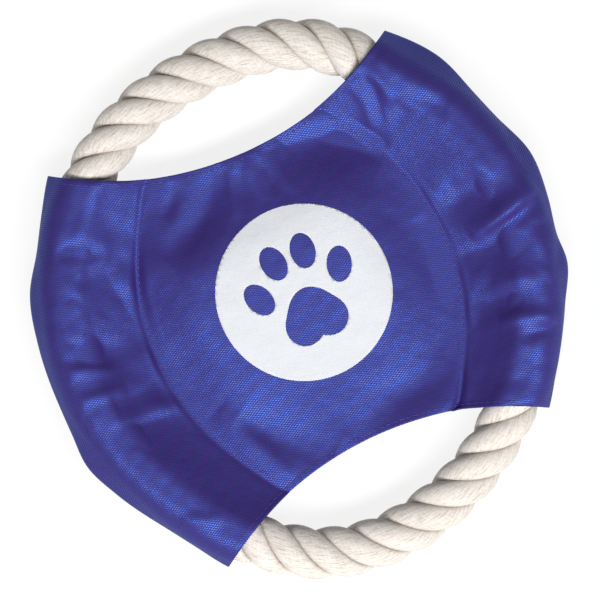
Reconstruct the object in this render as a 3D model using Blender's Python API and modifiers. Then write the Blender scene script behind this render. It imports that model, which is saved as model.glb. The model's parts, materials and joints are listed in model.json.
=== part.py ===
"""A flying ring for lawn games: an oval ring of three-strand rope, held in a sewn fabric cover.

Frame: +Z up, lengths in metres. The disc lies flat on Z = 0 and the origin is under its middle.
The two open mouths, where the rope is bare, are along +Y and -Y. The two sleeves that hold the
rope are along +X and -X. Heights inside the functions are counted from the rope's mid-plane.
"""

import math

import bmesh
import bpy
from mathutils import Vector

MM = 0.001

# Rope ring: its centreline passes smoothly through these (degrees from +X, radius) places. The
# sleeves hold it in at the sides, and it bulges unevenly where it is bare.
RING_PLACES = (
    (0.0, 90.0 * MM), (40.0, 92.5 * MM), (64.0, 98.9 * MM), (92.0, 97.0 * MM),
    (122.0, 95.2 * MM), (150.0, 91.0 * MM), (180.0, 89.5 * MM), (214.0, 90.5 * MM),
    (246.0, 99.0 * MM), (262.0, 100.0 * MM), (298.0, 94.0 * MM), (330.0, 89.8 * MM),
)
STRAND_COUNT = 3
STRAND_RADIUS = 4.25 * MM
STRAND_ORBIT = 6.1 * MM
LAY_LENGTH = 42.75 * MM
LAY_START = 2.5 * MM
POINTS_PER_LAY = 11
RING_SAMPLES = 3600

# Joint of the rope's two ends, inside the -X sleeve.
JOINT_ANGLE = math.pi
JOINT_GAP = 7.0 * MM
JOINT_SQUEEZE = 0.93
SQUEEZED_HALF_LENGTH = 27.0 * MM
SQUEEZE_TAPER = 24.0 * MM
TAPE_LENGTH = 32.0 * MM
TAPE_THICKNESS = 0.4 * MM
BINDING_LENGTH = 6.0 * MM
BINDING_GAP = 0.8 * MM
SLEEVE_SIDES = 16

# Fabric cover.
FABRIC = 0.5 * MM
FIT_GAP = 0.3 * MM
SLEEVE_ROOM = 0.4 * MM
CROWN_HALF_WIDTH = 1.75 * MM
MOUTH_RADIUS = 130.5 * MM
MOUTH_CENTRE_Y = 191.0 * MM
CORNER_X = 71.0 * MM
EDGE_RADIUS = 104.2 * MM
CORNER_FLARE = 4.1 * MM
FLARE_POWER = 4
SEAM_RADIUS = 92.5 * MM
SEAM_CENTRE_X = -31.0 * MM
PANEL_ROWS = 16
CENTRE_COLUMNS = 6
SHOULDER_STEPS = 3
EDGE_SLOT = 1.1 * MM

# Sewing threads and print.
THREAD_RADIUS = 0.25 * MM
EDGE_THREAD_RADIUS = 0.2 * MM
THREAD_STATIONS = 16
HEM_ROW = 0.974
SEAM_THREAD_REACH = 0.94
SEAM_THREAD_INSET = 1.0 * MM
EDGE_THREAD_REACH = 0.985
PRINT_RADIUS = 34.5 * MM
PRINT_CENTRE = (2.0 * MM, 1.5 * MM)
PRINT_THICKNESS = 0.3 * MM
PRINT_SIDES = 48

ROPE_RADIUS = STRAND_ORBIT + STRAND_RADIUS
SLEEVE_RADIUS = ROPE_RADIUS + SLEEVE_ROOM
MID_HEIGHT = SLEEVE_RADIUS + FABRIC
FIELD_TOP = FIT_GAP / 2 + FABRIC

# The ring bulges further towards -Y, so everything sits this far along +Y to centre the outline.
CENTRING = 1.0 * MM


# Scene helpers

def clear_scene():
    for item in list(bpy.data.objects):
        bpy.data.objects.remove(item, do_unlink=True)


def make_material(name, colour, roughness):
    material = bpy.data.materials.new(name)
    material.use_nodes = True
    shader = material.node_tree.nodes["Principled BSDF"]
    shader.inputs["Base Color"].default_value = (*colour, 1.0)
    shader.inputs["Roughness"].default_value = roughness
    shader.inputs["Metallic"].default_value = 0.0
    material.diffuse_color = (*colour, 1.0)
    return material


def make_axis(name, collection):
    axis = bpy.data.objects.new(name, None)
    axis.empty_display_size = 0.02
    axis.location = (0.0, CENTRING, MID_HEIGHT)
    collection.objects.link(axis)
    return axis


def add_object(name, data, colour, roughness, parent, collection):
    """Put data in the scene as one piece with its own material, carried by its parent empty."""
    item = bpy.data.objects.new(name, data)
    data.materials.append(make_material(name + "_material", colour, roughness))
    item.parent = parent
    collection.objects.link(item)
    return item


def smoothstep(value):
    value = min(max(value, 0.0), 1.0)
    return value * value * (3.0 - 2.0 * value)


# Rope ring

def ring_place(index):
    """One of RING_PLACES in radians and metres, counted on past either end of the list."""
    turns, place = divmod(index, len(RING_PLACES))
    degrees, radius = RING_PLACES[place]
    return math.radians(degrees + 360.0 * turns), radius


def ring_radius(angle):
    """Radius of the centreline: a smooth closed curve through RING_PLACES."""
    angle = angle % math.tau
    index = max(n for n in range(len(RING_PLACES)) if ring_place(n)[0] <= angle)
    (a0, r0), (a1, r1), (a2, r2), (a3, r3) = [ring_place(index + n) for n in (-1, 0, 1, 2)]
    span = a2 - a1
    part = (angle - a1) / span
    start_slope = (r2 - r0) / (a2 - a0) * span
    end_slope = (r3 - r1) / (a3 - a1) * span
    bend = r2 - r1
    square = 3.0 * bend - 2.0 * start_slope - end_slope
    cube = start_slope + end_slope - 2.0 * bend
    return r1 + part * (start_slope + part * (square + part * cube))


def ring_position(angle):
    return ring_radius(angle) * Vector((math.cos(angle), math.sin(angle), 0.0))


def ring_lengths():
    """Length along the centreline from the joint, at RING_SAMPLES equal steps of angle."""
    lengths = [0.0]
    last = ring_position(JOINT_ANGLE)
    for step in range(1, RING_SAMPLES + 1):
        point = ring_position(JOINT_ANGLE + math.tau * step / RING_SAMPLES)
        lengths.append(lengths[-1] + (point - last).length)
        last = point
    return lengths


RING_LENGTHS = ring_lengths()
RING_LENGTH = RING_LENGTHS[-1]


def ring_angle(distance):
    """The angle reached after a distance along the centreline from the joint."""
    low, high = 0, RING_SAMPLES
    distance = distance % RING_LENGTH
    while high - low > 1:
        middle = (low + high) // 2
        if RING_LENGTHS[middle] <= distance:
            low = middle
        else:
            high = middle
    part = (distance - RING_LENGTHS[low]) / (RING_LENGTHS[high] - RING_LENGTHS[low])
    return JOINT_ANGLE + math.tau * (low + part) / RING_SAMPLES


def ring_frame(distance):
    """The centreline's point and its outward direction in the mid-plane."""
    angle = ring_angle(distance)
    step = math.tau / RING_SAMPLES
    along = (ring_position(angle + step) - ring_position(angle - step)).normalized()
    return ring_position(angle), Vector((along.y, -along.x, 0.0))


def rope_thickness(distance):
    """Share of the rope's full thickness, which is less where the joint's tape binds it."""
    from_joint = min(distance, RING_LENGTH - distance)
    return JOINT_SQUEEZE + (1.0 - JOINT_SQUEEZE) * smoothstep(
        (from_joint - SQUEEZED_HALF_LENGTH) / SQUEEZE_TAPER
    )


def make_strand(number, parent, collection):
    """One right-hand-laid strand: a helix about the ring's centreline, open at the joint."""
    steps = round(RING_LENGTH / LAY_LENGTH * POINTS_PER_LAY)
    curve = bpy.data.curves.new(f"rope_strand_{number}", "CURVE")
    curve.dimensions = "3D"
    curve.bevel_depth = STRAND_RADIUS
    curve.bevel_resolution = 1
    curve.use_fill_caps = True
    spline = curve.splines.new("POLY")
    spline.points.add(steps)
    for index, point in enumerate(spline.points):
        distance = JOINT_GAP / 2 + (RING_LENGTH - JOINT_GAP) * index / steps
        centre, outward = ring_frame(distance)
        laid = (distance + LAY_START) / LAY_LENGTH
        turn = math.tau * ((number - 1) / STRAND_COUNT - laid)
        share = rope_thickness(distance)
        up = Vector((0.0, 0.0, 1.0))
        place = centre + share * STRAND_ORBIT * (math.cos(turn) * outward + math.sin(turn) * up)
        point.co = (*place, 1.0)
        point.radius = share
    return add_object(f"rope_strand_{number}", curve, (0.82, 0.77, 0.69), 0.95, parent, collection)


def make_rope_sleeve(name, middle, length, colour, parent, collection):
    """A thin tube wrapped round the squeezed rope, centred at a distance from the joint."""
    steps = max(2, round(length / (4.0 * MM)))
    inner = ROPE_RADIUS * JOINT_SQUEEZE + FIT_GAP
    mesh = bpy.data.meshes.new(name)
    shape = bmesh.new()
    bmesh.ops.create_grid(shape, x_segments=SLEEVE_SIDES, y_segments=steps, size=1.0)
    for vertex in shape.verts:
        turn = math.pi * vertex.co.x
        centre, outward = ring_frame(middle + 0.5 * length * vertex.co.y)
        up = Vector((0.0, 0.0, 1.0))
        vertex.co = centre + inner * (math.cos(turn) * outward + math.sin(turn) * up)
    bmesh.ops.remove_doubles(shape, verts=shape.verts, dist=1e-6)
    bmesh.ops.recalc_face_normals(shape, faces=shape.faces)
    shape.to_mesh(mesh)
    shape.free()
    mesh.shade_smooth()
    item = add_object(name, mesh, colour, 0.8, parent, collection)
    wall = item.modifiers.new("wall", "SOLIDIFY")
    wall.thickness = TAPE_THICKNESS
    wall.offset = 1.0
    return item


# Cover outline

def mouth_y(x):
    """The +Y mouth's concave edge."""
    return MOUTH_CENTRE_Y - math.sqrt(MOUTH_RADIUS ** 2 - x ** 2)


def seam_end_angle():
    """Where a sleeve seam's arc runs out through the mouth's edge."""
    low, high = 0.0, 0.5 * math.pi
    for _ in range(50):
        angle = 0.5 * (low + high)
        x = SEAM_CENTRE_X + SEAM_RADIUS * math.cos(angle)
        if SEAM_RADIUS * math.sin(angle) < mouth_y(x):
            low = angle
        else:
            high = angle
    return low


SEAM_END_ANGLE = seam_end_angle()
CORNER_ANGLE = math.atan2(mouth_y(CORNER_X), CORNER_X)


def seam_point(row):
    angle = row * SEAM_END_ANGLE
    return SEAM_CENTRE_X + SEAM_RADIUS * math.cos(angle), SEAM_RADIUS * math.sin(angle)


def edge_point(row, inset):
    """A point of the +X outer edge, moved in from the fabric's outer face by inset."""
    angle = row * CORNER_ANGLE
    radius = EDGE_RADIUS + CORNER_FLARE * abs(row) ** FLARE_POWER - inset
    return radius * math.cos(angle), radius * math.sin(angle)


def from_ring(x, y):
    """How far a point is outside the ring's centreline; negative inside it."""
    return math.hypot(x, y) - ring_radius(math.atan2(y, x))


# Sleeve section: fabric pulled taut from the seam, over the rope and down to the outer edge.

def tangent_angle(run, rise):
    """Slope of the line from a point to the top of the sleeve circle, run away and rise above."""
    return math.asin(SLEEVE_RADIUS / math.hypot(run, rise)) - math.atan2(rise, run)


def sleeve_section(seam_offset, edge_offset):
    """(offset from the centreline, height) pairs across the sleeve, from seam to outer edge."""
    seam_slope = tangent_angle(-CROWN_HALF_WIDTH - seam_offset, FIT_GAP / 2)
    edge_slope = tangent_angle(edge_offset - CROWN_HALF_WIDTH, EDGE_SLOT / 2)
    rising = []
    falling = []
    for step in range(SHOULDER_STEPS + 1):
        slope = seam_slope * (1.0 - step / SHOULDER_STEPS)
        rising.append((-CROWN_HALF_WIDTH - SLEEVE_RADIUS * math.sin(slope),
                       SLEEVE_RADIUS * math.cos(slope)))
        slope = edge_slope * step / SHOULDER_STEPS
        falling.append((CROWN_HALF_WIDTH + SLEEVE_RADIUS * math.sin(slope),
                        SLEEVE_RADIUS * math.cos(slope)))
    start = (seam_offset, FIT_GAP / 2)
    halfway = (0.5 * (start[0] + rising[0][0]), 0.5 * (start[1] + rising[0][1]))
    return [start, halfway] + rising + falling + [(edge_offset, EDGE_SLOT / 2)]


def sleeve_row(row, wing):
    """Points of the top panel's inner face along one row of a sleeve, seam first.

    The sleeve is on wing +1 or -1 along X.
    """
    seam = seam_point(row)
    edge = edge_point(row, FABRIC)
    seam_share = seam[1] / mouth_y(seam[0])
    edge_share = edge[1] / mouth_y(edge[0])
    seam_offset = from_ring(wing * seam[0], seam[1])
    edge_offset = from_ring(wing * edge[0], edge[1])
    points = []
    for offset, height in sleeve_section(seam_offset, edge_offset):
        across = (offset - seam_offset) / (edge_offset - seam_offset)
        for _ in range(3):
            x = seam[0] + (edge[0] - seam[0]) * across
            y = mouth_y(x) * (seam_share + (edge_share - seam_share) * across)
            across += (offset - from_ring(wing * x, y)) / (edge_offset - seam_offset)
            across = min(max(across, 0.0), 1.0)
        x = seam[0] + (edge[0] - seam[0]) * across
        y = mouth_y(x) * (seam_share + (edge_share - seam_share) * across)
        points.append(Vector((wing * x, y, height)))
    return points


def cover_row(row):
    """Points of the top panel's inner face from the -X edge to the +X edge."""
    left = sleeve_row(row, -1)
    right = sleeve_row(row, 1)
    seam = right[0]
    share = seam.y / mouth_y(seam.x)
    centre = []
    for step in range(1, CENTRE_COLUMNS):
        x = seam.x * (2.0 * step / CENTRE_COLUMNS - 1.0)
        centre.append(Vector((x, share * mouth_y(x), FIT_GAP / 2)))
    return left[::-1] + centre + right


def cover_normals(row):
    """Outward directions of the top panel at the points of cover_row."""
    step = 0.004
    here = cover_row(row)
    ahead = cover_row(row + step)
    behind = cover_row(row - step)
    normals = []
    for index in range(len(here)):
        before = here[max(index - 1, 0)]
        after = here[min(index + 1, len(here) - 1)]
        normals.append((after - before).cross(ahead[index] - behind[index]).normalized())
    return normals


def make_panel(name, side, colour, parent, collection):
    """One fabric panel, side +1 over the rope or -1 under it, open along its whole outline."""
    rows = [cover_row(2.0 * index / PANEL_ROWS - 1.0) for index in range(PANEL_ROWS + 1)]
    columns = len(rows[0]) - 1
    mesh = bpy.data.meshes.new(name)
    shape = bmesh.new()
    bmesh.ops.create_grid(shape, x_segments=columns, y_segments=PANEL_ROWS, size=1.0)
    for vertex in shape.verts:
        column = round((vertex.co.x + 1.0) / 2.0 * columns)
        row = round((vertex.co.y + 1.0) / 2.0 * PANEL_ROWS)
        point = rows[row][column]
        vertex.co = (point.x, point.y, side * point.z)
    if side < 0:
        bmesh.ops.reverse_faces(shape, faces=shape.faces)
    shape.to_mesh(mesh)
    shape.free()
    mesh.shade_smooth()
    mesh.set_sharp_from_angle(angle=math.radians(20.0))
    item = add_object(name, mesh, colour, 0.5, parent, collection)
    cloth = item.modifiers.new("fabric", "SOLIDIFY")
    cloth.thickness = FABRIC
    cloth.offset = 1.0
    return item


# Threads and print

def make_thread(name, points, radius, colour, parent, collection):
    curve = bpy.data.curves.new(name, "CURVE")
    curve.dimensions = "3D"
    curve.bevel_depth = radius
    curve.bevel_resolution = 0
    curve.use_fill_caps = True
    spline = curve.splines.new("POLY")
    spline.points.add(len(points) - 1)
    for target, point in zip(spline.points, points):
        target.co = (*point, 1.0)
    return add_object(name, curve, colour, 0.6, parent, collection)


def hem_points(mouth, side):
    """Topstitching beside a mouth's edge; mouth +1 or -1 along Y, side +1 or -1 along Z.

    Underneath, it stops on the sleeves' inner slopes, short of where the disc rests.
    """
    row = mouth * HEM_ROW
    lift = FABRIC + FIT_GAP + THREAD_RADIUS
    places = [place + lift * normal for place, normal in zip(cover_row(row), cover_normals(row))]
    if side < 0:
        highest = MID_HEIGHT - THREAD_RADIUS
        first = last = len(places) // 2
        while places[first - 1].z < highest:
            first -= 1
        while places[last + 1].z < highest:
            last += 1
        places = places[first:last + 1]
    return [(place.x, place.y, side * place.z) for place in places]


def seam_points(wing, side):
    """The seam that closes a sleeve round the rope; wing +1 or -1 along X."""
    height = FIELD_TOP + FIT_GAP + THREAD_RADIUS
    points = []
    for step in range(THREAD_STATIONS + 1):
        x, y = seam_point(SEAM_THREAD_REACH * (2.0 * step / THREAD_STATIONS - 1.0))
        points.append((wing * (x - SEAM_THREAD_INSET), y, side * height))
    return points


def edge_points(wing):
    """The outer seam, which joins the two panels edge to edge beyond the rope."""
    points = []
    for step in range(THREAD_STATIONS + 1):
        row = EDGE_THREAD_REACH * (2.0 * step / THREAD_STATIONS - 1.0)
        x, y = edge_point(row, FABRIC / 2)
        points.append((wing * x, y, 0.0))
    return points


def make_threads(parent, collection):
    blue = (0.05, 0.055, 0.28)
    for side, layer in ((1, "top"), (-1, "bottom")):
        for mouth, place in ((1, "north"), (-1, "south")):
            make_thread(f"hem_thread_{place}_{layer}", hem_points(mouth, side),
                        THREAD_RADIUS, blue, parent, collection)
        for wing, place in ((1, "right"), (-1, "left")):
            make_thread(f"sleeve_seam_thread_{place}_{layer}", seam_points(wing, side),
                        THREAD_RADIUS, blue, parent, collection)
    for wing, place in ((1, "right"), (-1, "left")):
        make_thread(f"outer_seam_thread_{place}", edge_points(wing),
                    EDGE_THREAD_RADIUS, blue, parent, collection)


def make_print(parent, collection):
    """The thin layer of white ink on the middle of the top panel."""
    mesh = bpy.data.meshes.new("print_disc")
    shape = bmesh.new()
    bmesh.ops.create_cone(
        shape, cap_ends=True, segments=PRINT_SIDES,
        radius1=PRINT_RADIUS, radius2=PRINT_RADIUS, depth=PRINT_THICKNESS,
    )
    shape.to_mesh(mesh)
    shape.free()
    item = add_object("print_disc", mesh, (0.9, 0.9, 0.92), 0.6, parent, collection)
    item.location = (*PRINT_CENTRE, FIELD_TOP + FIT_GAP + PRINT_THICKNESS / 2)
    return item


def make_rope(parent, collection):
    for number in range(1, STRAND_COUNT + 1):
        make_strand(number, parent, collection)
    make_rope_sleeve("rope_joint_tape", 0.0, TAPE_LENGTH, (0.75, 0.72, 0.66), parent, collection)
    binding_middle = 0.5 * TAPE_LENGTH + BINDING_GAP + 0.5 * BINDING_LENGTH
    for number, middle in ((1, binding_middle), (2, -binding_middle)):
        make_rope_sleeve(f"rope_end_binding_{number}", middle, BINDING_LENGTH,
                         (0.7, 0.66, 0.58), parent, collection)


def make_cover(parent, collection):
    blue = (0.047, 0.054, 0.30)
    make_panel("top_panel", 1, blue, parent, collection)
    make_panel("bottom_panel", -1, blue, parent, collection)
    make_threads(parent, collection)
    make_print(parent, collection)


def main():
    clear_scene()
    collection = bpy.data.collections.new("flying_ring")
    bpy.context.scene.collection.children.link(collection)
    cover = make_axis("cover_middle", collection)
    rope = make_axis("rope_ring_axis", collection)
    make_cover(cover, collection)
    make_rope(rope, collection)


main()
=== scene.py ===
"""Looks of the flying ring: a three-strand cotton rope ring in a sewn, satin-finished fabric cover.

Lengths in the tables and named values are millimetres about the ring's centre, x towards the right
wing and y towards the north mouth, with height 0 at the rope's mid-plane. build_mesh puts a piece
into the frame in metres.
"""

import json
import math

import bmesh
import bpy
import numpy as np
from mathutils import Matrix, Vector
from mathutils.bvhtree import BVHTree


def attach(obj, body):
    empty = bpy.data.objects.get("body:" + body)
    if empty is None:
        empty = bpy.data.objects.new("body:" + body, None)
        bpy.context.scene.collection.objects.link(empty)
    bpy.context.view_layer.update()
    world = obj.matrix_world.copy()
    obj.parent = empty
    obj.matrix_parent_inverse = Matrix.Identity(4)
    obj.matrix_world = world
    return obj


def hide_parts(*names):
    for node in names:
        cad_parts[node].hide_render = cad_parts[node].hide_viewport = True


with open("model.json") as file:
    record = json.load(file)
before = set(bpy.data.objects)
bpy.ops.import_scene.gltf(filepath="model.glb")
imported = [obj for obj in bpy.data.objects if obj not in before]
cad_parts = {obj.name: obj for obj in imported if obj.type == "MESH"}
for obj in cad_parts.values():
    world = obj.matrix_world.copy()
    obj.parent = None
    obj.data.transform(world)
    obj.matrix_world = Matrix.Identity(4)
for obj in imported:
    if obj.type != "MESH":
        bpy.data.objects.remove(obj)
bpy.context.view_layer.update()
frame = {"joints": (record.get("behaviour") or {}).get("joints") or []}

MM = 0.001
CENTRE = np.array(frame["joints"][0]["pos_m"])
MID_HEIGHT = CENTRE[2] / MM

# Rope, as in the CAD part: its centreline's radius at angles from +x, and its lay.
RING_PLACES = (
    (0, 90.0), (40, 92.5), (64, 98.9), (92, 97.0), (122, 95.2), (150, 91.0),
    (180, 89.5), (214, 90.5), (246, 99.0), (262, 100.0), (298, 94.0), (330, 89.8),
)
STRAND_COUNT = 3
LAY_LENGTH = 42.75
LAY_START = 2.5
RING_STEPS = 7200
JOINT_DEGREES = 180.0
JOINT_GAP = 7.0
JOINT_SQUEEZE = 0.93
SQUEEZED_HALF_LENGTH = 27.0
SQUEEZE_TAPER = 24.0
STRAND_ORBIT = 5.7
STRAND_HEIGHT = 4.62
STRAND_WIDTH = 5.25
STRAND_SIDES = 54
STRAND_STEP = 0.85
YARN_COUNT = 16
YARN_DEPTH = 0.1
YARN_TWIST = 19.0
YARN_ROUNDNESS = 0.7
YARN_WANDER = 0.8
YARN_WANDER_LENGTH = 18.0
FIBRE_LENGTH = 20.0
STRAND_WOBBLE = 0.012
STRAND_WOBBLE_LENGTH = 35.0
ROPE_RADIUS = STRAND_ORBIT + STRAND_HEIGHT

# Painted shade on a strand: how dark it is made between its yarns, and from where it turns in towards
# the other strands.
YARN_SHADE = 0.1
SHADE_FROM = 0.2
SHADE_OVER = 0.4
SHADE_POWER = 1.5

# Cover outline: radius of each wing's outer edge, at angles from that wing's own axis.
RIGHT_EDGE = (
    (-48.2, 105.7), (-40, 103.4), (-26, 102.9), (-17, 104.7), (-10, 102.7), (-2, 104.0),
    (8, 105.9), (18, 103.9), (26, 104.8), (36, 108.4), (48, 109.2),
)
LEFT_EDGE = (
    (-50.1, 109.4), (-42, 106.1), (-34, 104.5), (-25, 105.6), (-14, 104.0), (-2, 103.1),
    (6, 103.8), (14, 106.1), (22, 105.0), (34, 103.9), (42, 105.1), (50.3, 108.5),
)

# Mouths and sleeve seams: both are arcs. The mouths come a little closer together towards the right
# wing, and a seam leaves its arc only near its ends, to reach the edges of the mouths.
MOUTH_RADIUS = 130.5
MOUTH_CENTRE_Y = 191.0
MOUTH_TILT = 0.033
SEAM_RADIUS = 92.5
SEAM_CENTRE_X = -31.0
SEAM_END_POWER = 12

# Sleeves: the cloth's thickness, its room round the rope, the top's extra rise above it, and half
# the width of the level crown.
CLOTH = 0.34
SLEEVE_GAP = 0.45
TOP_LOFT = 0.65
CROWN_HALF_WIDTH = 1.75

# Heights of the cloth at the sleeve seams, at the outer edges and where a fold dips lowest.
SEAM_HEIGHT = 0.5
EDGE_HEIGHT = 0.32
LOWEST = 0.3

# A panel's grid of points, which becomes FINER times as fine once the cloth has settled, and how
# many points a sleeve's round takes on the way up from its seam and down to its edge.
ROWS = 88
SLEEVE_COLUMNS = 30
FIELD_COLUMNS = 60
FINER = 2
RISING_STEPS = 16
FALLING_STEPS = 24

# Random waves: how many of each size, how many sizes, how much weaker each finer size is, and what
# brings their sum to about unit height.
NOISE_WAVES = 6
NOISE_OCTAVES = 3
NOISE_WEAKENING = 1.7
NOISE_UNIT = 2.4

# Folds: places along each one, its height (a valley's is negative), and how wide it is on the left
# and on the right of that path.
TOP_FOLDS = (
    # middle: broad dips and rises, most of them behind the hems
    (((8, 57), (28, 54.5), (44, 49), (54, 38)), -2.6, 5, 12),
    (((-42, 35), (-30, 40), (-19, 47), (-7, 60)), -2.2, 5.5, 7),
    (((-10, 63), (4, 58), (16, 63)), 1.3, 5, 11),
    (((-36, 50), (-31, 55), (-27, 62)), -0.8, 2.5, 3),
    (((-40, -31), (-31, -45), (-16, -63)), -1.8, 10, 6),
    (((-47, -26), (-40, -44), (-32, -63)), 1.3, 4, 7),
    (((-4, -60), (14, -51), (30, -48), (52, -34)), -1.3, 8, 9),
    (((4, -66), (26, -63), (48, -57)), 2.0, 9, 6),
    (((53, 10), (51, -20), (37, -43)), -1.0, 6, 6),
    (((-64, 32), (-52, 33), (-40, 33)), 1.5, 9, 17),
    (((-60, 11), (-48, 11), (-34, 11)), 1.2, 12, 13),
    # middle: the short streaks between the north hem and the print
    (((-10, 38), (-8, 48), (-4, 58)), 0.5, 2, 2.2),
    (((-4, 38), (-3, 48), (-1, 58)), -0.45, 2, 2),
    (((3, 40), (2, 50), (3, 58)), 0.35, 2, 2),
    (((9, 40), (8, 50), (6, 58)), -0.35, 2.2, 2),
    (((14, 38), (13, 48), (13, 57)), 0.4, 2, 2.4),
    # left sleeve
    (((-80, 54), (-72, 53), (-63, 47)), -1.3, 3, 4),
    (((-78, 39), (-69, 41), (-61, 38)), -0.7, 3, 5),
    (((-90, 15), (-77, 13.5), (-61, 8)), -1.7, 6, 9),
    (((-95, 11), (-87, 9), (-77, 5)), 0.9, 2.5, 3),
    (((-95, -1), (-86, -2.5), (-76, -4)), 0.9, 2.5, 3),
    (((-83, -7), (-72, -8.5), (-60, -6)), -0.9, 3, 6),
    (((-89, -17), (-73, -20), (-59, -21)), -1.1, 2.6, 12),
    (((-78, -59), (-71, -62), (-63, -66)), 0.8, 2.5, 2.5),
    # right sleeve
    (((64, 17), (74, 19), (88, 18)), 0.7, 9, 6),
    (((62, 8), (76, 11), (93, 8)), -1.7, 7, 8),
    (((70, -6), (86, -3), (101, 2)), 2.3, 5, 2.1),
    (((75, -10), (88, -7), (99, -4)), -0.9, 2.5, 3),
    (((61, -11), (76, -12.5), (92, -15)), -1.5, 4, 8),
    (((91, -11), (97, -13), (103, -13)), -0.7, 2, 4),
    (((70, -25), (82, -29), (94, -31)), 0.8, 4, 3),
    (((59, -30), (70, -33), (82, -36)), -1.5, 4, 8),
    (((66, -40), (77, -43), (90, -49)), 1.4, 3.5, 2.6),
    (((70, -49), (79, -50), (88, -53)), -0.9, 2, 3),
    (((65, 73), (72, 60), (82, 49)), 1.1, 4, 3),
    (((60, 52), (70, 51), (82, 43)), -1.0, 3, 6),
    (((52, 48), (54, 58), (51, 68)), 0.6, 2.2, 2),
    (((57, 48), (59, 60), (57, 72)), -0.5, 2, 2),
    (((62, 50), (63, 60), (61, 74)), 0.45, 2, 2.2),
)
BOTTOM_FOLDS = (
    (((-52, 40), (-20, 50), (10, 57)), -1.8, 5, 9),
    (((-40, -52), (-5, -47), (34, -56)), -1.6, 7, 6),
    (((20, 55), (34, 30), (50, 10)), 0.9, 6, 7),
    (((-55, 5), (-30, -12), (-12, -40)), 0.8, 7, 8),
    (((63, 20), (76, 17), (96, 18)), -1.2, 4, 7),
    (((64, -24), (78, -27), (96, -23)), 1.1, 4, 4),
    (((-94, 22), (-78, 19), (-61, 23)), 1.0, 4, 5),
    (((-95, -16), (-80, -20), (-60, -16)), -1.1, 5, 7),
)

# Folds again: points along a path, how bluntly a fold ends, and the columns of the grid over which
# it fades beside a seam. RUMPLE is the height of the fine unevenness that all of the cloth has.
FOLD_STEPS = 24
FOLD_END_POWER = 0.7
SEAM_FADE_COLUMNS = 5.0
RUMPLE = 0.05
RUMPLE_SIZE = 13.0

# The middle's rise above its seams, highest on the line y = DOME_RIDGE, and how much of it is left
# at the mouths.
DOME_HEIGHT = 7.6
DOME_AT_HEM = 0.36
DOME_RIDGE = 22.0
DOME_NORTH = 34.0
DOME_SOUTH = 79.0
DOME_LEFT = 33.0
DOME_RIGHT = 24.0
DOME_EDGE = 58.0

# Print: a disc with a pad and four toes left open. The pad is (angle, radius) about a place that is
# PAD_DROP below the disc's middle, and each toe is (x, y, lean in degrees).
PRINT_RADIUS = 34.5
PRINT_CENTRE = (2.0, 1.5)
PRINT_THICKNESS = 0.07
PRINT_LIFT = 0.01
PRINT_SIDES = 160
PRINT_CELL = 1.6
PAD_DROP = 9.5
PAD_OUTLINE = (
    (-90, 8.5), (-52, 12.6), (-18, 13.2), (28, 10.4), (90, 11.2), (152, 10.4), (198, 13.2),
    (232, 12.6), (270, 8.5),
)
TOES = ((-17.0, 4.5, 22), (-6.2, 15.0, 8), (6.2, 15.0, -8), (17.0, 4.5, -22))
TOE_HALF_WIDTH = 4.9
TOE_HALF_LENGTH = 7.0

# Stitches.
STITCH_LENGTH = 2.1
STITCH_GAP = 0.7
STITCH_START = 0.5
STITCH_RADIUS = 0.17
STITCH_PROUD = 0.3
STITCH_SIDES = 8

# How far the rows of stitches lie in from the hems, the seams and the outer edges, and how far they
# run: to either side of the middle at a hem, and as a share of a seam or an edge.
HEM_STITCH = 1.7
HEM_STITCH_REACH = 66
SEAM_STITCH = 0.9
SEAM_STITCH_REACH = 0.95
EDGE_STITCH = 0.5
EDGE_STITCH_REACH = 0.98

# Cloth turned in at the hems and the outer edges.
HEM_CURL = 0.2
HEM_TURNS = (0.8, 1.57, 2.36, math.pi)
HEM_RETURN = 2.2
TUCK = 0.9
TUCK_DROP = 0.1

# Room under the bottom panel, and the height from which the cloth's surface is looked for.
FLOOR_GAP = 0.15
RAY_HEIGHT = 40.0

# Unrolling the cloth: the shortest level step, and the most that a steep stretch grows.
LEAST_STEP = 1e-4
STEEPEST = 6.0

# Weave: the repeat of its bright floats along x and y.
WEAVE_X = 1.75
WEAVE_Y = 0.99


# Curves through given points

def smooth_through(places, at):
    """A smooth curve through (place, value) pairs, read at the given places."""
    knots = np.array([place for place, _ in places], float)
    values = np.array([value for _, value in places], float)
    slopes = np.gradient(values, knots)
    slopes[1:-1] = (values[2:] - values[:-2]) / (knots[2:] - knots[:-2])
    index = np.clip(np.searchsorted(knots, at, side="right") - 1, 0, len(knots) - 2)
    span = knots[index + 1] - knots[index]
    part = (at - knots[index]) / span
    rise = values[index + 1] - values[index]
    start, end = slopes[index] * span, slopes[index + 1] * span
    return values[index] + part * (
        start + part * (3 * rise - 2 * start - end + part * (start + end - 2 * rise))
    )


def ring_radius(angle):
    """Radius of the rope's centreline, as in the CAD part."""
    around = [(place + turn, value) for turn in (-360, 0, 360) for place, value in RING_PLACES]
    return smooth_through(around, np.degrees(angle) % 360.0)


def smoothstep(value):
    """An even S-shaped step from 0 to 1."""
    value = np.clip(value, 0.0, 1.0)
    return value * value * (3.0 - 2.0 * value)


def noise(places, scale, seed):
    """Smooth random waves of about unit height: sums of sines in fixed random directions."""
    draw = np.random.default_rng(seed)
    total = np.zeros(len(places))
    for octave in range(NOISE_OCTAVES):
        for _ in range(NOISE_WAVES):
            direction = draw.normal(size=places.shape[1])
            direction *= 2 ** octave * math.tau / scale / np.linalg.norm(direction)
            wave = np.sin(places @ direction + draw.uniform(0, math.tau))
            total += wave / NOISE_UNIT / NOISE_WEAKENING ** octave
    return total


# Meshes

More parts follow.
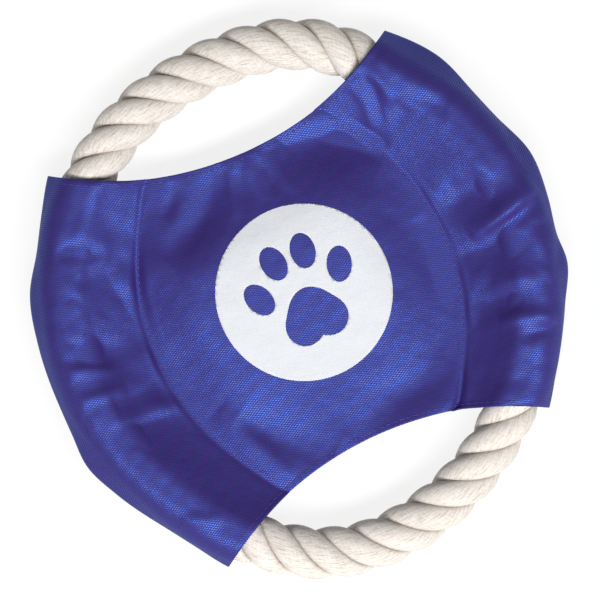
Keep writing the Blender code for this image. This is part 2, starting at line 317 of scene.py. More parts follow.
def build_mesh(name, points, faces, body, material, attributes=None):
    """A piece from points in millimetres about the ring's centre, riding on a CAD body."""
    mesh = bpy.data.meshes.new(name)
    mesh.from_pydata((points * MM + CENTRE).tolist(), [], faces)
    for key, values in (attributes or {}).items():
        kind = "FLOAT" if values.ndim == 1 else "FLOAT_VECTOR"
        layer = mesh.attributes.new(key, kind, "POINT")
        layer.data.foreach_set("value" if values.ndim == 1 else "vector",
                               values.astype(np.float32).ravel())
    mesh.shade_smooth()
    mesh.materials.append(material)
    piece = bpy.data.objects.new(name, mesh)
    bpy.context.scene.collection.objects.link(piece)
    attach(piece, body)
    return piece


def grid_faces(rows, columns, wrap=False):
    """Quads of a grid of points listed row by row."""
    span = columns if wrap else columns - 1
    row, column = np.mgrid[0:rows - 1, 0:span]
    here = row * columns + column
    beside = row * columns + (column + 1) % columns
    return np.stack((here, beside, beside + columns, here + columns), -1).reshape(-1, 4).tolist()


def normals_of(grid):
    """Unit normals of a (rows, columns, 3) grid of points."""
    along = np.gradient(grid, axis=0)
    across = np.gradient(grid, axis=1)
    normal = np.cross(across, along)
    return normal / np.linalg.norm(normal, axis=-1, keepdims=True)


# Rope

def ring_table():
    """Angle against distance along the rope's centreline from its joint."""
    angles = np.radians(JOINT_DEGREES) + np.linspace(0, math.tau, RING_STEPS + 1)
    radius = ring_radius(angles)
    line = np.stack((radius * np.cos(angles), radius * np.sin(angles)), -1)
    steps = np.linalg.norm(np.diff(line, axis=0), axis=1)
    return angles, np.concatenate(([0.0], np.cumsum(steps)))


def ring_frame(distance):
    """Centreline points and outward directions at distances from the joint."""
    angles, lengths = ring_table()
    angle = np.interp(distance, lengths, angles)
    step = 0.002

    def place(a):
        radius = ring_radius(a)
        return np.stack((radius * np.cos(a), radius * np.sin(a), np.zeros_like(a)), -1)

    along = place(angle + step) - place(angle - step)
    along /= np.linalg.norm(along, axis=1, keepdims=True)
    outward = np.stack((along[:, 1], -along[:, 0], np.zeros(len(along))), -1)
    return place(angle), outward


def make_strand(number, material):
    """One strand with its yarns: a helix round the rope's centreline, right-hand laid."""
    length = ring_table()[1][-1]
    rings = int((length - JOINT_GAP) / STRAND_STEP)
    distance = np.linspace(JOINT_GAP / 2, length - JOINT_GAP / 2, rings)
    centre, outward = ring_frame(distance)
    up = np.array((0.0, 0.0, 1.0))
    from_joint = np.minimum(distance, length - distance)
    share = JOINT_SQUEEZE + (1 - JOINT_SQUEEZE) * smoothstep(
        (from_joint - SQUEEZED_HALF_LENGTH) / SQUEEZE_TAPER)
    turn = math.tau * ((number - 1) / STRAND_COUNT - (distance + LAY_START) / LAY_LENGTH)
    radial = np.cos(turn)[:, None] * outward + np.sin(turn)[:, None] * up
    line = centre + (share * STRAND_ORBIT)[:, None] * radial
    along = np.gradient(line, axis=0)
    along /= np.linalg.norm(along, axis=1, keepdims=True)
    high = radial - np.sum(radial * along, axis=1, keepdims=True) * along
    high /= np.linalg.norm(high, axis=1, keepdims=True)
    side = np.cross(along, high)
    angle = np.linspace(0, math.tau, STRAND_SIDES, endpoint=False)
    wobble = 1.0 + STRAND_WOBBLE * noise(distance[:, None], STRAND_WOBBLE_LENGTH, 10 + number)
    tall = (STRAND_HEIGHT * share * wobble)[:, None, None] * np.cos(angle)[None, :, None]
    wide = (STRAND_WIDTH * share * wobble)[:, None, None] * np.sin(angle)[None, :, None]
    surface = line[:, None, :] + tall * high[:, None, :] + wide * side[:, None, :]
    twisted = angle[None, :] + distance[:, None] * math.tau / YARN_TWIST
    fibre = np.stack((np.cos(twisted), np.sin(twisted),
                      np.broadcast_to(distance[:, None] / FIBRE_LENGTH, twisted.shape)), -1)
    wander = YARN_WANDER * noise(distance[:, None], YARN_WANDER_LENGTH, 30 + number)
    phase = YARN_COUNT * twisted + wander[:, None]
    crest = np.abs(np.cos(phase / 2)) ** YARN_ROUNDNESS
    # Painted shade, kept with the strand for its colour: dark where it turns in towards the other
    # strands and between its yarns.
    painted_turn_in_shade = smoothstep((0.5 - 0.5 * np.cos(angle) - SHADE_FROM) / SHADE_OVER) ** SHADE_POWER
    outside = normals_of(np.concatenate((surface, surface[:, :1]), axis=1))[:, :-1]
    surface = surface - outside * (YARN_DEPTH * (1 - crest))[..., None]
    painted_groove_shade = np.clip(1 - crest, 0, 1) * YARN_SHADE + painted_turn_in_shade[None, :]
    points = surface.reshape(-1, 3)
    faces = grid_faces(rings, STRAND_SIDES, wrap=True)
    faces.append(list(range(STRAND_SIDES))[::-1])
    faces.append(list(range((rings - 1) * STRAND_SIDES, rings * STRAND_SIDES)))
    strand = build_mesh(f"laid_strand_{number}", points, faces, "rope_ring", material,
                        {"painted_groove_shade": np.clip(painted_groove_shade, 0, 1).ravel(), "fibre": fibre.reshape(-1, 3)})
    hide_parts(f"rope_strand_{number}")


# Cover outline and sleeves

def mouth_y(x, mouth):
    """Edge of the mouth, +1 north or -1 south."""
    return mouth * (MOUTH_CENTRE_Y - np.sqrt(MOUTH_RADIUS ** 2 - x ** 2) - MOUTH_TILT * x)


def mouth_of(row):
    """The mouth that a row is nearer to, +1 north or -1 south; rows run from -1 to 1."""
    return np.where(row < 0, -1.0, 1.0)


def seam_end():
    """The angle on a sleeve seam's arc at which it meets a mouth."""
    angles = np.linspace(0.5, 1.2, 4000)
    x = SEAM_CENTRE_X + SEAM_RADIUS * np.cos(angles)
    return angles[np.argmax(SEAM_RADIUS * np.sin(angles) > mouth_y(x, 1))]


SEAM_END = seam_end()


def seam_place(row, wing):
    """Where a row crosses a sleeve's seam; wing is +1 right or -1 left."""
    angle = row * SEAM_END
    x = wing * (SEAM_CENTRE_X + SEAM_RADIUS * np.cos(angle))
    inside = SEAM_RADIUS * np.sin(angle)
    limit = mouth_y(x, mouth_of(row))
    return x, inside + (limit - inside) * np.abs(row) ** SEAM_END_POWER


def edge_place(row, wing):
    """Where a row ends at a wing's outer edge."""
    places, axis = (RIGHT_EDGE, 0.0) if wing > 0 else (LEFT_EDGE, 180.0)
    degrees = np.interp(row, (-1, 1), (places[0][0], places[-1][0])[::wing])
    radius = smooth_through(places, degrees)
    angle = np.radians(axis + degrees)
    return radius * np.cos(angle), radius * np.sin(angle)


def from_ring(x, y):
    """How far a place lies outside the rope's centreline."""
    return np.hypot(x, y) - ring_radius(np.arctan2(y, x))


def sleeve_profile(seam_offset, edge_offset, count, loft):
    """(offset from the ring's centreline, height) across a sleeve, evenly spaced along the cloth."""
    radius = ROPE_RADIUS + SLEEVE_GAP + CLOTH / 2
    run = -CROWN_HALF_WIDTH - seam_offset
    seam_slope = math.asin(radius / math.hypot(run, SEAM_HEIGHT)) - math.atan2(SEAM_HEIGHT, run)
    run = max(edge_offset - CROWN_HALF_WIDTH, radius * 1.001)
    edge_slope = math.asin(radius / math.hypot(run, EDGE_HEIGHT)) - math.atan2(EDGE_HEIGHT, run)
    rising = np.linspace(seam_slope, 0, RISING_STEPS)
    falling = np.linspace(0, edge_slope, FALLING_STEPS)
    offset = np.concatenate(([seam_offset], -CROWN_HALF_WIDTH - radius * np.sin(rising),
                             CROWN_HALF_WIDTH + radius * np.sin(falling), [edge_offset]))
    height = np.concatenate(([SEAM_HEIGHT], radius * np.cos(rising), radius * np.cos(falling),
                             [EDGE_HEIGHT]))
    along = np.concatenate(([0], np.cumsum(np.hypot(np.diff(offset), np.diff(height)))))
    even = np.linspace(0, along[-1], count)
    return np.interp(even, along, offset), np.interp(even, along, height) * (1 + loft / radius)


def sleeve_row(row, wing, loft):
    """Points across one sleeve at one row, from the seam out to the edge."""
    seam_x, seam_y = seam_place(row, wing)
    edge_x, edge_y = edge_place(row, wing)
    seam_offset, edge_offset = from_ring(seam_x, seam_y), from_ring(edge_x, edge_y)
    offset, height = sleeve_profile(seam_offset, edge_offset, SLEEVE_COLUMNS + 1, loft)
    mouth = mouth_of(row)
    seam_share = seam_y / mouth_y(seam_x, mouth)
    edge_share = edge_y / mouth_y(edge_x, mouth)
    across = (offset - seam_offset) / (edge_offset - seam_offset)
    for _ in range(4):
        x = seam_x + (edge_x - seam_x) * across
        y = mouth_y(x, mouth) * (seam_share + (edge_share - seam_share) * across)
        across = across + (offset - from_ring(x, y)) / (edge_offset - seam_offset)
        across = np.clip(across, 0, 1)
    x = seam_x + (edge_x - seam_x) * across
    y = mouth_y(x, mouth) * (seam_share + (edge_share - seam_share) * across)
    return np.stack((x, y, height), -1)


def cover_grid(loft):
    """A panel at rest before any wrinkle, as a grid of points: south to north, left to right."""
    grid = []
    for row in np.linspace(-1, 1, ROWS + 1):
        left = sleeve_row(row, -1, loft)[::-1]
        right = sleeve_row(row, 1, loft)
        x = np.linspace(left[-1, 0], right[0, 0], FIELD_COLUMNS + 1)[1:-1]
        mouth = mouth_of(row)
        start = left[-1, 1] / mouth_y(left[-1, 0], mouth)
        end = right[0, 1] / mouth_y(right[0, 0], mouth)
        share = np.linspace(start, end, len(x) + 2)[1:-1]
        field = np.stack((x, mouth_y(x, mouth) * share, np.full(len(x), SEAM_HEIGHT)), -1)
        grid.append(np.concatenate((left, field, right)))
    grid = np.array(grid)
    grid[..., 2] += dome(grid[..., 0], grid[..., 1])
    return grid


def dome(x, y):
    """How far the middle of a panel stands proud of its seams and mouths."""
    flat = np.where(x < 0, DOME_LEFT, DOME_RIGHT)
    across = 1.0 - smoothstep((np.abs(x) - flat) / (DOME_EDGE - flat))
    beyond = np.where(y > DOME_RIDGE, (y - DOME_RIDGE) / DOME_NORTH, (DOME_RIDGE - y) / DOME_SOUTH)
    along = DOME_AT_HEM + (1.0 - DOME_AT_HEM) * (1.0 - smoothstep(beyond))
    return DOME_HEIGHT * across * along


def fold_path(places):
    """A smooth path through a fold's few places."""
    places = np.array(places, float)
    at = np.linspace(0, len(places) - 1, FOLD_STEPS)
    numbered = range(len(places))
    return np.stack([smooth_through(list(zip(numbered, places[:, axis])), at) for axis in (0, 1)], -1)


def fold_height(x, y, places, height, left, right):
    """One fold's rise: rounded across its path, and fading towards the path's ends."""
    path = fold_path(places)
    nearest = np.full(x.shape, np.inf)
    aside = np.zeros(x.shape)
    ahead = np.zeros(x.shape)
    for step, (start, end) in enumerate(zip(path, path[1:])):
        run = end - start
        length = np.hypot(*run)
        part = np.clip(((x - start[0]) * run[0] + (y - start[1]) * run[1]) / length ** 2, 0, 1)
        from_x, from_y = x - start[0] - part * run[0], y - start[1] - part * run[1]
        distance = np.hypot(from_x, from_y)
        closer = distance < nearest
        nearest = np.where(closer, distance, nearest)
        aside = np.where(closer, run[0] * from_y - run[1] * from_x, aside)
        ahead = np.where(closer, (step + part) / (FOLD_STEPS - 1), ahead)
    width = np.where(aside > 0, left, right)
    return height * np.exp(-(nearest / width) ** 2) * np.sin(math.pi * ahead) ** FOLD_END_POWER


def folded(grid, folds, seed):
    """The grid with its folds raised along its normals, fading out at the seams."""
    normal = normals_of(grid)
    x, y = grid[..., 0], grid[..., 1]
    lift = RUMPLE * noise(grid[..., :2].reshape(-1, 2), RUMPLE_SIZE, seed).reshape(x.shape)
    for places, height, left, right in folds:
        lift += fold_height(x, y, places, height, left, right)
    columns = np.arange(x.shape[1])
    last, sleeve = len(columns) - 1, SLEEVE_COLUMNS * FINER
    fade = np.ones(x.shape)
    for seam in (0, sleeve, last - sleeve, last):
        fade *= smoothstep(np.abs(columns - seam) / SEAM_FADE_COLUMNS)[None, :]
    grid = grid + normal * (lift * fade)[..., None]
    grid[..., 2] = np.maximum(grid[..., 2], LOWEST)
    return clear_of_rope(grid)


def clear_of_rope(grid):
    """Moves cloth that comes too near the rope back out to its room round it."""
    x, y, z = grid[..., 0], grid[..., 1], grid[..., 2]
    offset = from_ring(x, y)
    outside = offset - np.clip(offset, -CROWN_HALF_WIDTH, CROWN_HALF_WIDTH)
    distance = np.maximum(np.hypot(outside, z), 0.01)
    missing = np.maximum(0.0, ROPE_RADIUS + SLEEVE_GAP + CLOTH / 2 - distance)
    away = missing / distance
    reach = np.maximum(np.hypot(x, y), 0.01)
    return np.stack((x + x / reach * outside * away, y + y / reach * outside * away, z + z * away), -1)


# Cloth simulation

SIM_SCALE = 10.0 * MM
SIM_FRAMES = 36
SLEEVE_SLACK = 0.015
START_WAVE = 0.6
START_WAVE_LENGTH = 44.0
ENVELOPE_GAP = 0.15
WRINKLES_KEPT = 0.7

# The sleeves lie calmer towards two opposite ends: on the top the right one's north end and the left
# one's south end.
CALM_SHARE = 0.85
CALM_FROM = 14.0
CALM_OVER = 10.0


def sim_object(name, points, faces):
    """A passing object for the simulation, which runs at ten times the size."""
    mesh = bpy.data.meshes.new(name)
    mesh.from_pydata((points * SIM_SCALE).tolist(), [], faces)
    item = bpy.data.objects.new(name, mesh)
    bpy.context.scene.collection.objects.link(item)
    return item


def rope_envelope():
    """What the rope sweeps as it turns in its sleeves: a tube as wide as its travel."""
    angles = np.linspace(0, math.tau, 180, endpoint=False)
    around = np.linspace(0, math.tau, 28, endpoint=False)
    radius = ROPE_RADIUS + ENVELOPE_GAP
    offset = radius * np.cos(around) + CROWN_HALF_WIDTH * np.sign(np.round(np.cos(around), 6))
    reach = ring_radius(angles)[:, None] + offset[None, :]
    height = np.broadcast_to(radius * np.sin(around), reach.shape)
    points = np.stack((reach * np.cos(angles)[:, None], reach * np.sin(angles)[:, None], height), -1)
    points = np.concatenate((points, points[:1]))
    faces = grid_faces(len(points), len(around), wrap=True)
    return points.reshape(-1, 3), [face[::-1] for face in faces]


def simulate_cloth(grid, rest, pins):
    """Lets a grid of cloth settle over the rope; rest is its shape without strain."""
    rows, columns = grid.shape[:2]
    cloth = sim_object("settling_cloth", grid.reshape(-1, 3), grid_faces(rows, columns))
    cloth.shape_key_add(name="Basis")
    key = cloth.shape_key_add(name="cut")
    key.data.foreach_set("co", (rest * SIM_SCALE).astype(np.float32).ravel())
    group = cloth.vertex_groups.new(name="held")
    for index in np.flatnonzero(pins.ravel() > 0):
        group.add([int(index)], float(pins.ravel()[index]), "REPLACE")
    points, faces = rope_envelope()
    rope = sim_object("rope_envelope", points, faces)
    rope.modifiers.new("collision", "COLLISION")
    rope.collision.thickness_outer = 0.002
    rope.collision.cloth_friction = 6.0
    modifier = cloth.modifiers.new("cloth", "CLOTH")
    settings = modifier.settings
    settings.quality = 8
    settings.mass = 0.2
    settings.tension_stiffness = 40.0
    settings.compression_stiffness = 30.0
    settings.shear_stiffness = 12.0
    settings.bending_stiffness = 7.0
    settings.air_damping = 2.0
    settings.vertex_group_mass = "held"
    settings.rest_shape_key = key
    settings.effector_weights.gravity = 0.04
    modifier.collision_settings.distance_min = 0.002
    modifier.collision_settings.collision_quality = 3
    modifier.point_cache.frame_start = 1
    modifier.point_cache.frame_end = SIM_FRAMES
    scene = bpy.context.scene
    for step in range(1, SIM_FRAMES + 1):
        scene.frame_set(step)
    evaluated = cloth.evaluated_get(bpy.context.evaluated_depsgraph_get())
    result = np.empty(rows * columns * 3, np.float32)
    evaluated.data.vertices.foreach_get("co", result)
    bpy.data.objects.remove(cloth)
    bpy.data.objects.remove(rope)
    scene.frame_set(1)
    return result.reshape(grid.shape).astype(float) / SIM_SCALE


def settle(grid, side):
    """The grid with both sleeves as they settle over the rope, with some slack along them."""
    settled = grid.copy()
    for wing, columns in ((-1, slice(0, SLEEVE_COLUMNS + 1)), (1, slice(-SLEEVE_COLUMNS - 1, None))):
        sleeve = grid[:, columns]
        flat = sleeve.reshape(-1, 3)
        rest = flat * (1, 1 + SLEEVE_SLACK, 1)
        start = flat.copy()
        start[:, 2] += START_WAVE * np.abs(noise(flat, START_WAVE_LENGTH, 50 + side + wing))
        pins = np.zeros(sleeve.shape[:2])
        pins[:, [0, -1]] = 1.0
        pins[[0, -1], :] = 1.0
        start = start.reshape(sleeve.shape)
        start[pins > 0] = sleeve[pins > 0]
        draped = simulate_cloth(start, rest.reshape(sleeve.shape), pins)
        calm = smoothstep((wing * side * sleeve[..., 1] - CALM_FROM) / CALM_OVER)
        kept = WRINKLES_KEPT * (1.0 - CALM_SHARE * calm)
        settled[:, columns] = sleeve + (draped - sleeve) * kept[..., None]
    return settled


def refine(grid):
    """The grid with more points in between, on cubic curves through the ones it has."""
    for axis in (0, 1):
        count = grid.shape[axis]
        at = np.linspace(0, count - 1, (count - 1) * FINER + 1)
        low = np.clip(np.floor(at).astype(int), 0, count - 2)
        part = at - low
        shape = [1] * grid.ndim
        shape[axis] = -1
        part = part.reshape(shape)
        before, here, after, beyond = (
            np.take(grid, np.clip(low + step, 0, count - 1), axis) for step in (-1, 0, 1, 2))
        grid = here + 0.5 * part * (after - before + part * (
            2 * before - 5 * here + 4 * after - beyond + part * (3 * (here - after) + beyond - before)))
    return grid


def flat_places(grid):
    """Where each point lies in the cloth's flat cut, unrolled outward from the middle."""
    flat = grid.copy()
    flat[..., 2] = 0
    steps = np.diff(grid, axis=1)
    level = np.linalg.norm(steps[..., :2], axis=-1)
    longer = np.linalg.norm(steps, axis=-1) / np.maximum(level, LEAST_STEP)
    longer = np.minimum(longer, STEEPEST)
    spread = steps[..., :2] * longer[..., None]
    middle = grid.shape[1] // 2
    flat[:, middle + 1:, :2] = flat[:, middle:middle + 1, :2] + np.cumsum(spread[:, middle:], axis=1)
    back = np.cumsum(spread[:, :middle][:, ::-1], axis=1)[:, ::-1]
    flat[:, :middle, :2] = flat[:, middle:middle + 1, :2] - back
    return flat


def with_hems(grid, side):
    """Adds the cloth that is folded in at the mouths and tucked in at the outer edges."""
    along = np.gradient(grid, axis=0)
    along /= np.linalg.norm(along, axis=-1, keepdims=True)
    normal = normals_of(grid) * side
    rows = [grid]
    for end, way in ((0, -1.0), (-1, 1.0)):
        place, out, up = grid[end], way * along[end], normal[end]
        fold = [place + HEM_CURL * math.sin(a) * out + HEM_CURL * (math.cos(a) - 1) * up
                for a in HEM_TURNS]
        back = [place - 2 * HEM_CURL * up - HEM_RETURN * part * out for part in (0.5, 1.0)]
        extra = np.array(fold + back)
        rows = [extra[::-1]] + rows if end == 0 else rows + [extra]
    grid = np.concatenate(rows)
    tucked = []
    for edge, beside in ((0, 1), (-1, -2)):
        inward = grid[:, beside] - grid[:, edge]
        inward[:, 2] = 0
        inward /= np.linalg.norm(inward, axis=-1, keepdims=True)
        tucked.append(grid[:, edge] + TUCK * inward - (0, 0, side * TUCK_DROP))
    return np.concatenate((tucked[0][:, None], grid, tucked[1][:, None]), axis=1)


def make_cloth(name, grid, side, material, node):
    """A panel with its thickness, from the grid of its middle surface; side +1 is the top."""
    grid = with_hems(grid, side)
    rows, columns = grid.shape[:2]
    place = flat_places(grid).reshape(-1, 3)
    half = 0.5 * CLOTH * normals_of(grid) * side
    outer = (grid + half).reshape(-1, 3)
    inner = (grid - half).reshape(-1, 3)
    count = rows * columns
    faces = grid_faces(rows, columns)
    back = [[index + count for index in face[::-1]] for face in faces]
    rim = (list(range(columns)) + [row * columns + columns - 1 for row in range(1, rows)]
           + [count - 1 - step for step in range(1, columns)]
           + [row * columns for row in range(rows - 2, 0, -1)])
    walls = [[b, a, a + count, b + count] for a, b in zip(rim, rim[1:] + rim[:1])]
    faces = faces + back + walls
    if side < 0:
        faces = [face[::-1] for face in faces]
    panel = build_mesh(name, np.concatenate((outer, inner)), faces, "cover", material,
                       {"cloth_place": np.concatenate((place, place))})
    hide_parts(node)
    return panel


# Print and stitches

def height_finder(panel):
    """A function that finds a panel's outer surface above or below a place."""
    mesh = panel.data
    points = [(np.array(v.co) - CENTRE) / MM for v in mesh.vertices]
    tree = BVHTree.FromPolygons([tuple(p) for p in points], [tuple(f.vertices) for f in mesh.polygons])

    def find(x, y, side):
        return tree.ray_cast(Vector((x, y, side * RAY_HEIGHT)), Vector((0, 0, -side)))[0]

    return find


def closed_spline(curve, points):
    """Adds a closed outline to a flat curve."""
    spline = curve.splines.new("POLY")
    spline.points.add(len(points) - 1)
    for target, (x, y) in zip(spline.points, points):
        target.co = (x, y, 0, 1)
    spline.use_cyclic_u = True


def make_print(find, material):
    """A white printed disc with a paw left open in it, following the cloth under it."""
    curve = bpy.data.curves.new("print_outline", "CURVE")
    curve.dimensions = "2D"
    curve.fill_mode = "BOTH"
    turn = np.linspace(0, math.tau, PRINT_SIDES, endpoint=False)
    closed_spline(curve, np.stack((np.cos(turn), np.sin(turn)), -1) * PRINT_RADIUS)
    turn = turn[::2]
    reach = smooth_through(PAD_OUTLINE, (np.degrees(turn) + 90) % 360 - 90)
    closed_spline(curve, np.stack((reach * np.cos(turn), reach * np.sin(turn) - PAD_DROP), -1))
    for x, y, tilt in TOES:
        lean = math.radians(tilt)
        wide, tall = TOE_HALF_WIDTH * np.cos(turn), TOE_HALF_LENGTH * np.sin(turn)
        closed_spline(curve, np.stack((x + wide * math.cos(lean) - tall * math.sin(lean),
                                       y + wide * math.sin(lean) + tall * math.cos(lean)), -1))
    outline = bpy.data.objects.new("print_outline", curve)
    bpy.context.scene.collection.objects.link(outline)
    bpy.context.view_layer.update()
    shape = bmesh.new()
    shape.from_mesh(outline.to_mesh())
    bpy.data.objects.remove(outline)
    bmesh.ops.remove_doubles(shape, verts=shape.verts, dist=0.001)
    for axis in (Vector((1, 0, 0)), Vector((0, 1, 0))):
        for cut in np.arange(-PRINT_RADIUS + 1, PRINT_RADIUS, PRINT_CELL):
            everything = shape.verts[:] + shape.edges[:] + shape.faces[:]
            bmesh.ops.bisect_plane(shape, geom=everything, plane_co=axis * cut, plane_no=axis)
    bmesh.ops.recalc_face_normals(shape, faces=shape.faces)
    shape.verts.ensure_lookup_table()
    flat = np.array([v.co for v in shape.verts]) + (*PRINT_CENTRE, 0)
    faces = [[v.index for v in face.verts] for face in shape.faces]
    rim = [(loop.vert.index, loop.link_loop_next.vert.index) for edge in shape.edges
           if edge.is_boundary for loop in edge.link_loops]
    if sum(face.normal.z for face in shape.faces) < 0:
        faces = [face[::-1] for face in faces]
        rim = [(b, a) for a, b in rim]
    shape.free()
    heights = np.array([find(x, y, 1).z for x, y, _ in flat])
    low = np.column_stack((flat[:, 0], flat[:, 1], heights + PRINT_LIFT))
    high = low + (0, 0, PRINT_THICKNESS)
    count = len(flat)
    solid = ([[index + count for index in face] for face in faces] + [face[::-1] for face in faces]
             + [[a, b, b + count, a + count] for a, b in rim])
    layer = build_mesh("white_print", np.concatenate((low, high)), solid, "cover", material,
                       {"cloth_place": np.concatenate((flat, flat))})
    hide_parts("print_disc")
    return layer


def capsule(start, end, radius):
    """Points and faces of one stitch: a bar with rounded ends."""
    along = end - start
    length = np.linalg.norm(along)
    along = along / length
    side = np.cross(along, (0.0, 0.0, 1.0) if abs(along[2]) < 0.9 else (1.0, 0.0, 0.0))
    side /= np.linalg.norm(side)
    up = np.cross(side, along)
    rings = ((0.0, 0.45), (0.12, 0.85), (0.3, 1.0), (0.7, 1.0), (0.88, 0.85), (1.0, 0.45))
    turn = np.linspace(0, math.tau, STITCH_SIDES, endpoint=False)
    section = np.cos(turn)[:, None] * side + np.sin(turn)[:, None] * up
    points = [start + along * length * part + radius * size * section for part, size in rings]
    faces = grid_faces(len(rings), STITCH_SIDES, wrap=True)
    first_end, count = list(range(STITCH_SIDES)), STITCH_SIDES * len(rings)
    faces += [first_end[::-1], list(range(count - STITCH_SIDES, count))]
    return np.concatenate(points), faces


def make_stitches(name, line, node, material):
    """A row of stitches along a line of points on the cloth."""
    steps = np.linalg.norm(np.diff(line, axis=0), axis=1)
    lengths = np.concatenate(([0], np.cumsum(steps)))
    pitch = STITCH_LENGTH + STITCH_GAP
    starts = np.arange(STITCH_START, lengths[-1] - pitch, pitch)

    def at(distance):
        return np.array([np.interp(distance, lengths, line[:, axis]) for axis in range(3)])

    points, faces = [], []
    for start in starts:
        some, its_faces = capsule(at(start), at(start + STITCH_LENGTH), STITCH_RADIUS)
        first = sum(len(p) for p in points)
        points.append(some)
        faces += [[index + first for index in face] for face in its_faces]
    stitches = build_mesh(name, np.concatenate(points), faces, "cover", material)
    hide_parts(node)
    return stitches


def on_cloth(find, places, side):
    """The places laid on a panel's outer surface, a little proud of it."""
    line = []
    for x, y in places:
        place = find(x, y, side)
        if place is not None:
            line.append(np.array(place) + (0, 0, side * STITCH_PROUD * STITCH_RADIUS))
    return np.array(line)


def make_panel_threads(find, side, layer, material):
    """The rows of stitches that show on one panel: its two hems and its two sleeve seams."""
    rows = []
    for mouth, place in ((1, "north"), (-1, "south")):
        x = np.linspace(-HEM_STITCH_REACH, HEM_STITCH_REACH, 300)
        y = mouth_y(x, mouth) - mouth * HEM_STITCH * np.hypot(1, x / MOUTH_RADIUS)
        line = on_cloth(find, zip(x, y), side)
        rows.append(make_stitches(f"hem_stitches_{place}_{layer}", line,
                                  f"hem_thread_{place}_{layer}", material))
    for wing, place in ((1, "right"), (-1, "left")):
        angle = np.linspace(-SEAM_STITCH_REACH, SEAM_STITCH_REACH, 200) * SEAM_END
        x = wing * (SEAM_CENTRE_X + (SEAM_RADIUS - SEAM_STITCH) * np.cos(angle))
        y = (SEAM_RADIUS - SEAM_STITCH) * np.sin(angle)
        line = on_cloth(find, zip(x, y), side)
        rows.append(make_stitches(f"sleeve_stitches_{place}_{layer}", line,
                                  f"sleeve_seam_thread_{place}_{layer}", material))
    return rows


def make_edge_threads(material):
    """The stitches that join the two panels along their outer edges."""
    for wing, place in ((1, "right"), (-1, "left")):
        rows = np.linspace(-EDGE_STITCH_REACH, EDGE_STITCH_REACH, 240)
        edge = np.array([edge_place(row, wing) for row in rows])
        reach = np.linalg.norm(edge, axis=1, keepdims=True)
        edge = edge * (1 - EDGE_STITCH / reach)
        line = np.column_stack((edge, np.zeros(len(edge))))
        make_stitches(f"outer_stitches_{place}", line, f"outer_seam_thread_{place}", material)


# Materials

def new_material(name):
    """A material with its nodes, its links and its shader."""
    material = bpy.data.materials.new(name)
    material.use_nodes = True
    nodes = material.node_tree.nodes
    return material, nodes, material.node_tree.links, nodes["Principled BSDF"]


def add_weave(nodes, links):
    """How much of a bright float shows at each place on the cloth, from 0 to 1."""
    place = nodes.new("ShaderNodeAttribute")
    place.attribute_name = "cloth_place"
    split = nodes.new("ShaderNodeSeparateXYZ")
    links.new(place.outputs["Vector"], split.inputs[0])

    def calculate(operation, first, second=None):
        node = nodes.new("ShaderNodeMath")
        node.operation = operation
        for socket, value in zip(node.inputs, (first, second)):
            if value is None:
                continue
            if isinstance(value, (int, float)):
                socket.default_value = value
            else:
                links.new(value, socket)
        return node.outputs[0]

    across = calculate("COSINE", calculate("MULTIPLY", split.outputs["X"], math.tau / WEAVE_X))
    along = calculate("COSINE", calculate("MULTIPLY", split.outputs["Y"], math.tau / WEAVE_Y))
    floats = calculate("MULTIPLY", across, along)
    return calculate("ADD", calculate("MULTIPLY", floats, 0.5), 0.5)


def add_ramp(nodes, links, source, low, high):
    """Colours from one (position, colour) to another along a source value."""
    ramp = nodes.new("ShaderNodeValToRGB")
    for element, (position, colour) in zip(ramp.color_ramp.elements, (low, high)):
        element.position = position
        element.color = (*colour, 1)
    links.new(source, ramp.inputs[0])
    return ramp.outputs["Color"]


def add_noise(nodes, links, scale, detail, attribute=None):
    """A noise texture over the piece's own metres, or over one of its attributes."""
    texture = nodes.new("ShaderNodeTexNoise")
    texture.inputs["Scale"].default_value = scale
    texture.inputs["Detail"].default_value = detail
    texture.inputs["Roughness"].default_value = 0.7
    if attribute:
        place = nodes.new("ShaderNodeAttribute")
        place.attribute_name = attribute
        links.new(place.outputs["Vector"], texture.inputs["Vector"])
    else:
        place = nodes.new("ShaderNodeTexCoord")
        links.new(place.outputs["Object"], texture.inputs["Vector"])
    return texture.outputs["Fac"]


def add_bump(nodes, links, shader, height, strength, depth):
    """Relief from a height, depth millimetres deep."""
    relief = nodes.new("ShaderNodeBump")
    relief.inputs["Strength"].default_value = strength
    relief.inputs["Distance"].default_value = depth * MM
    links.new(height, relief.inputs["Height"])
    links.new(relief.outputs["Normal"], shader.inputs["Normal"])


def add_tint(nodes, links, first, second):
    """Two colours multiplied."""
    mix = nodes.new("ShaderNodeMix")
    mix.data_type = "RGBA"
    mix.blend_type = "MULTIPLY"
    mix.inputs["Factor"].default_value = 1.0
    links.new(first, mix.inputs["A"])
    links.new(second, mix.inputs["B"])
    return mix.outputs["Result"]


def make_rope_material():
    """Matt cotton: fine fibres along the yarns, with painted shade that turns it dark brown between the
    yarns and between the strands.
    """
    material, nodes, links, shader = new_material("natural_cotton_rope")
    painted_groove_shade = nodes.new("ShaderNodeAttribute")
    painted_groove_shade.attribute_name = "painted_groove_shade"
    streaks = add_noise(nodes, links, 9.0, 5.0, "fibre")
    # Painted shade: cream where a strand is open, dark brown where shade is painted between its yarns
    # and the strands.
    depth = add_ramp(nodes, links, painted_groove_shade.outputs["Fac"],
                     (0.0, (0.84, 0.785, 0.73)), (1.0, (0.20, 0.12, 0.075)))
    tone = add_ramp(nodes, links, streaks, (0.33, (0.62, 0.56, 0.50)), (0.52, (1, 1, 1)))
    links.new(add_tint(nodes, links, depth, tone), shader.inputs["Base Color"])
    add_bump(nodes, links, shader, streaks, 0.8, 0.5)
    shader.inputs["Roughness"].default_value = 0.95
    shader.inputs["Specular IOR Level"].default_value = 0.15
    shader.inputs["Sheen Weight"].default_value = 0.15
    return material


